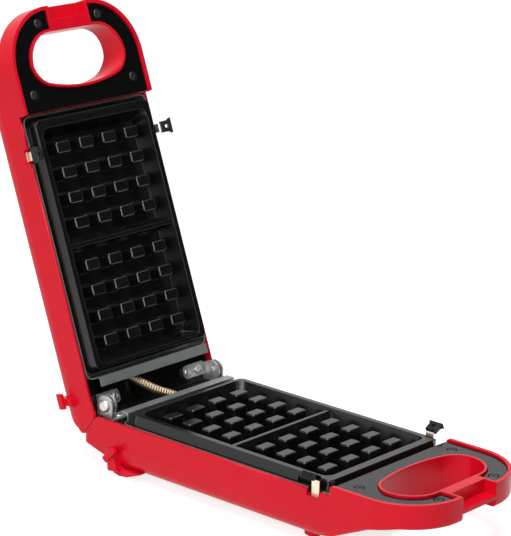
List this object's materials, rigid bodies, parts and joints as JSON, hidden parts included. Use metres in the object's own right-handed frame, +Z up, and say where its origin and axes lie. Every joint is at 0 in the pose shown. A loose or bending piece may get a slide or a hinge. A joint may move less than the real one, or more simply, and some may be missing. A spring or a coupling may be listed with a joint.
{
  "type": "snack maker",
  "caption": "Red two-slice snack maker with loop handles, shown open, with removable dark grid plates, side release clips and a rear hinge.",
  "frame": {"origin": "centre of the bounding box's bottom face, on the counter under the feet", "axes": "+X across, to the right seen from the handle; +Y from the handle toward the hinge; +Z up"},
  "size_m": [0.1528, 0.4328, 0.3381],
  "materials": {
    "red_plastic": "satin moulded red",
    "black_plastic": "black moulded, light sheen",
    "coated_aluminium": "dark non-stick coating",
    "zinc_sheet": "zinc-plated sheet",
    "bracket_steel": "plated sheet",
    "spring_steel": "straw-coloured spring steel",
    "conduit_steel": "yellow-plated wound steel",
    "foot_rubber": "matte",
    "red_lens": "clear tinted",
    "green_lens": "clear tinted",
    "block_plastic": "matte",
    "fuse_body": "drawn metal can",
    "element_sheath": "oxidised sheath",
    "thermostat_metal": "satin",
    "screw_steel": "zinc-plated",
    "dark_screw": "black oxide"
  },
  "bodies": {
    "base": {"base_housing": "red_plastic", "base_handle_cover": "black_plastic", "base_cover_screws": "dark_screw", "base_tray": "zinc_sheet", "base_tray_screws": "screw_steel", "base_heating_element": "element_sheath", "base_hinge_panel": "black_plastic", "base_bracket_right": "bracket_steel", "base_bracket_left": "bracket_steel", "base_bracket_screws": "screw_steel", "hinge_rivet_right": "screw_steel", "hinge_rivet_left": "screw_steel", "base_clip_pins": "screw_steel", "thermostat": "thermostat_metal", "thermal_fuse": "fuse_body", "terminal_block": "block_plastic", "foot_pads": "foot_rubber", "conduit": "conduit_steel"},
    "lid": {"lid_housing": "red_plastic", "lid_handle_cover": "black_plastic", "lid_cover_screws": "dark_screw", "lid_tray": "zinc_sheet", "lid_tray_screws": "screw_steel", "lid_heating_element": "element_sheath", "lid_hinge_panel": "black_plastic", "lid_bracket_right": "bracket_steel", "lid_bracket_left": "bracket_steel", "lid_bracket_screws": "screw_steel", "lid_clip_pins": "screw_steel", "power_lamp_lens": "red_lens", "ready_lamp_lens": "green_lens"},
    "base_plate_body": {"base_plate": "coated_aluminium"},
    "lid_plate_body": {"lid_plate": "coated_aluminium"},
    "base_clip_right": {"base_clip_leaf_right": "spring_steel", "base_clip_paddle_right": "black_plastic"},
    "base_clip_left": {"base_clip_leaf_left": "spring_steel", "base_clip_paddle_left": "black_plastic"},
    "lid_clip_right": {"lid_clip_leaf_right": "spring_steel", "lid_clip_paddle_right": "black_plastic"},
    "lid_clip_left": {"lid_clip_leaf_left": "spring_steel", "lid_clip_paddle_left": "black_plastic"}
  },
  "joints": [
    {"name": "lid_hinge", "type": "hinge", "parent": "base", "child": "lid", "pos_m": [0, 0.09141, 0.05], "axis": [1, 0, 0], "range_deg": [0, 110.4], "deforming": ["conduit"]},
    {"name": "base_plate_lift", "type": "slide", "parent": "base", "child": "base_plate_body", "axis": [0, 0, -1], "range_m": [-0.03, 0]},
    {"name": "lid_plate_lift", "type": "slide", "parent": "lid", "child": "lid_plate_body", "axis": [0, 0.9364, -0.351], "range_m": [-0.03, 0]},
    {"name": "base_clip_right_swing", "type": "hinge", "parent": "base", "child": "base_clip_right", "pos_m": [0.0655, -0.12129, 0.036], "axis": [0, 1, 0], "range_deg": [0, 12], "stiffness_Nm_per_rad": 0.6, "springref_deg": -8.59},
    {"name": "lid_clip_right_swing", "type": "hinge", "parent": "lid", "child": "lid_clip_right", "pos_m": [0.0655, 0.17392, 0.2302], "axis": [0, 0.351, 0.9364], "range_deg": [0, 12], "stiffness_Nm_per_rad": 0.6, "springref_deg": -8.59},
    {"name": "base_clip_left_swing", "type": "hinge", "parent": "base", "child": "base_clip_left", "pos_m": [-0.0655, -0.12129, 0.036], "axis": [0, -1, 0], "range_deg": [0, 12], "stiffness_Nm_per_rad": 0.6, "springref_deg": -8.59},
    {"name": "lid_clip_left_swing", "type": "hinge", "parent": "lid", "child": "lid_clip_left", "pos_m": [-0.0655, 0.17392, 0.2302], "axis": [0, -0.351, -0.9364], "range_deg": [0, 12], "stiffness_Nm_per_rad": 0.6, "springref_deg": -8.59}
  ]
}
